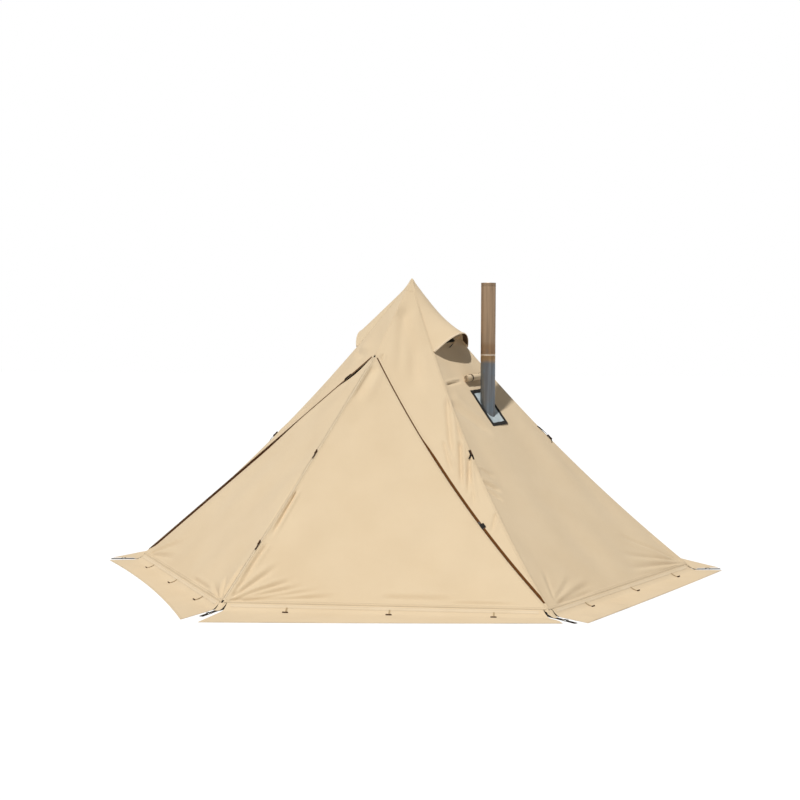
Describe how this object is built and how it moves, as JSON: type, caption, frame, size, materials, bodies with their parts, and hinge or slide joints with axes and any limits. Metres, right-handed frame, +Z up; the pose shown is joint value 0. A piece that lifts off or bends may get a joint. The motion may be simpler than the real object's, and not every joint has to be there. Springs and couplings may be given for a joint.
{
  "type": "hot tent",
  "caption": "Hexagonal canvas hot tent on a centre pole, with a zipped corner door, hooded vents, a ground skirt and a stove whose chimney leaves through a heatproof patch.",
  "frame": {"origin": "on the ground, straight under the peak, at the middle of the pole foot's underside", "axes": "+Z up; the front wall faces -Y; +X towards the corner right of the stove; the door's hip is the front left one"},
  "size_m": [4.4822, 4.2454, 2.0855],
  "materials": {
    "canvas": "matte woven canvas, even off-white buff",
    "webbing": "matte flat webbing",
    "black_fabric": "matte stitched binding",
    "black_plastic": "matte moulded",
    "mesh": "fine black netting",
    "heatproof": "coated glass cloth, low sheen",
    "zip": "woven zip tape with coil",
    "zip_metal": "semi-gloss",
    "pole": "satin tube",
    "rubber": "matte",
    "stove": "heatproof satin black",
    "chimney": "thin rolled sheet, heat-tinted",
    "steel": "plain"
  },
  "bodies": {
    "tent": {"front_upper_panel": "canvas", "left_upper_panel": "canvas", "right_panel": "canvas", "back_right_panel": "canvas", "back_panel": "canvas", "back_left_panel": "canvas", "door_hip_tape": "canvas", "vent_hood_right": "canvas", "vent_hood_left": "canvas", "jack_flap_roll": "canvas", "peak_cap": "canvas", "corner_strap_front_left": "webbing", "corner_strap_front_right": "webbing", "corner_strap_right": "webbing", "corner_strap_back_right": "webbing", "corner_strap_back_left": "webbing", "corner_strap_left": "webbing", "hip_tie_front_right": "webbing", "hip_tie_right": "webbing", "hip_tie_back_right": "webbing", "hip_tie_back_left": "webbing", "hip_tie_left": "webbing", "vent_mesh_right": "mesh", "vent_mesh_left": "mesh", "jack_patch": "heatproof", "jack_border": "black_fabric", "zip_tape_front": "zip", "zip_tape_left": "zip", "pole_lower": "pole", "pole_upper": "pole", "pole_foot": "rubber", "stove_body": "stove", "chimney_lower": "chimney", "chimney_middle": "chimney", "chimney_upper": "chimney"},
    "door_leaf_front": {"door_leaf_front": "canvas"},
    "door_leaf_left": {"door_leaf_left": "canvas"},
    "zip_slider_front": {"zip_slider_front": "zip_metal"},
    "zip_slider_left": {"zip_slider_left": "zip_metal"},
    "vent_prop_right": {"vent_prop_right": "black_plastic"},
    "vent_prop_left": {"vent_prop_left": "black_plastic"},
    "damper": {"damper": "steel"},
    "stove_door": {"stove_door": "stove"},
    "stove_air_slide": {"stove_air_slide": "steel"},
    "stove_latch": {"stove_latch": "steel"},
    "stove_legs_front": {"stove_legs_front": "steel"},
    "stove_legs_rear": {"stove_legs_rear": "steel"},
    "skirt_front": {"skirt_front": "canvas", "hem_webbing_front": "webbing"},
    "skirt_right": {"skirt_right": "canvas", "hem_webbing_right": "webbing"},
    "skirt_back_right": {"skirt_back_right": "canvas", "hem_webbing_back_right": "webbing"},
    "skirt_back": {"skirt_back": "canvas", "hem_webbing_back": "webbing"},
    "skirt_back_left": {"skirt_back_left": "canvas", "hem_webbing_back_left": "webbing"},
    "skirt_left": {"skirt_left": "canvas", "hem_webbing_left": "webbing"}
  },
  "joints": [
    {"name": "front_leaf_fold", "type": "hinge", "parent": "tent", "child": "door_leaf_front", "pos_m": [-0.6104, -1.05724, 0.78837], "axis": [-0.3606, -0.6246, -0.6927], "range_deg": [0, 90]},
    {"name": "left_leaf_fold", "type": "hinge", "parent": "tent", "child": "door_leaf_left", "pos_m": [-0.6104, -1.05724, 0.78837], "axis": [-0.3606, -0.6246, -0.6927], "range_deg": [-90, 0]},
    {"name": "front_zip_run", "type": "hinge", "parent": "tent", "child": "zip_slider_front", "pos_m": [2.87857, -4.41147, 5.84301], "axis": [0.7665, 0.6405, 0.0476], "range_deg": [-5.5, 12.5]},
    {"name": "left_zip_run", "type": "slide", "parent": "tent", "child": "zip_slider_left", "axis": [0.7551, -0.1623, 0.6352], "range_m": [-1.95, 0.17]},
    {"name": "skirt_front_lift", "type": "hinge", "parent": "tent", "child": "skirt_front", "pos_m": [0, -1.7327, 0.03924], "axis": [1, 0, 0], "range_deg": [-60, 0]},
    {"name": "skirt_right_lift", "type": "hinge", "parent": "tent", "child": "skirt_right", "pos_m": [1.50056, -0.86635, 0.03924], "axis": [-0.5, -0.866, 0], "range_deg": [0, 60]},
    {"name": "skirt_back_right_lift", "type": "hinge", "parent": "tent", "child": "skirt_back_right", "pos_m": [1.50056, 0.86635, 0.03924], "axis": [-0.5, 0.866, 0], "range_deg": [-60, 0]},
    {"name": "skirt_back_lift", "type": "hinge", "parent": "tent", "child": "skirt_back", "pos_m": [0, 1.7327, 0.03924], "axis": [1, 0, 0], "range_deg": [0, 60]},
    {"name": "skirt_back_left_lift", "type": "hinge", "parent": "tent", "child": "skirt_back_left", "pos_m": [-1.50056, 0.86635, 0.03924], "axis": [-0.5, -0.866, 0], "range_deg": [-60, 0]},
    {"name": "skirt_left_lift", "type": "hinge", "parent": "tent", "child": "skirt_left", "pos_m": [-1.50056, -0.86635, 0.03924], "axis": [-0.5, 0.866, 0], "range_deg": [0, 60]},
    {"name": "right_prop_fold", "type": "hinge", "parent": "tent", "child": "vent_prop_right", "pos_m": [0.28695, -0.15684, 1.58901], "axis": [0.5, 0.866, 0], "range_deg": [0, 85]},
    {"name": "left_prop_fold", "type": "hinge", "parent": "tent", "child": "vent_prop_left", "pos_m": [-0.29486, 0.17024, 1.60441], "axis": [-0.5, -0.866, 0], "range_deg": [0, 85]},
    {"name": "damper_turn", "type": "hinge", "parent": "tent", "child": "damper", "pos_m": [0.56599, -0.29563, 0.72], "axis": [1, 0, 0], "range_deg": [0, 90]},
    {"name": "stove_door_swing", "type": "hinge", "parent": "tent", "child": "stove_door", "pos_m": [0.48099, -0.62143, 0.34], "axis": [0, 0, -1], "range_deg": [0, 110]},
    {"name": "air_slide_run", "type": "slide", "parent": "stove_door", "child": "stove_air_slide", "axis": [1, 0, 0], "range_m": [0, 0.014]},
    {"name": "latch_turn", "type": "hinge", "parent": "stove_door", "child": "stove_latch", "pos_m": [0.63899, -0.62093, 0.34], "axis": [0, -1, 0], "range_deg": [0, 90]},
    {"name": "front_legs_fold", "type": "hinge", "parent": "tent", "child": "stove_legs_front", "pos_m": [0.56599, -0.58563, 0.1944], "axis": [1, 0, 0], "range_deg": [0, 90]},
    {"name": "rear_legs_fold", "type": "hinge", "parent": "tent", "child": "stove_legs_rear", "pos_m": [0.56599, -0.22563, 0.1804], "axis": [-1, 0, 0], "range_deg": [0, 90]}
  ]
}
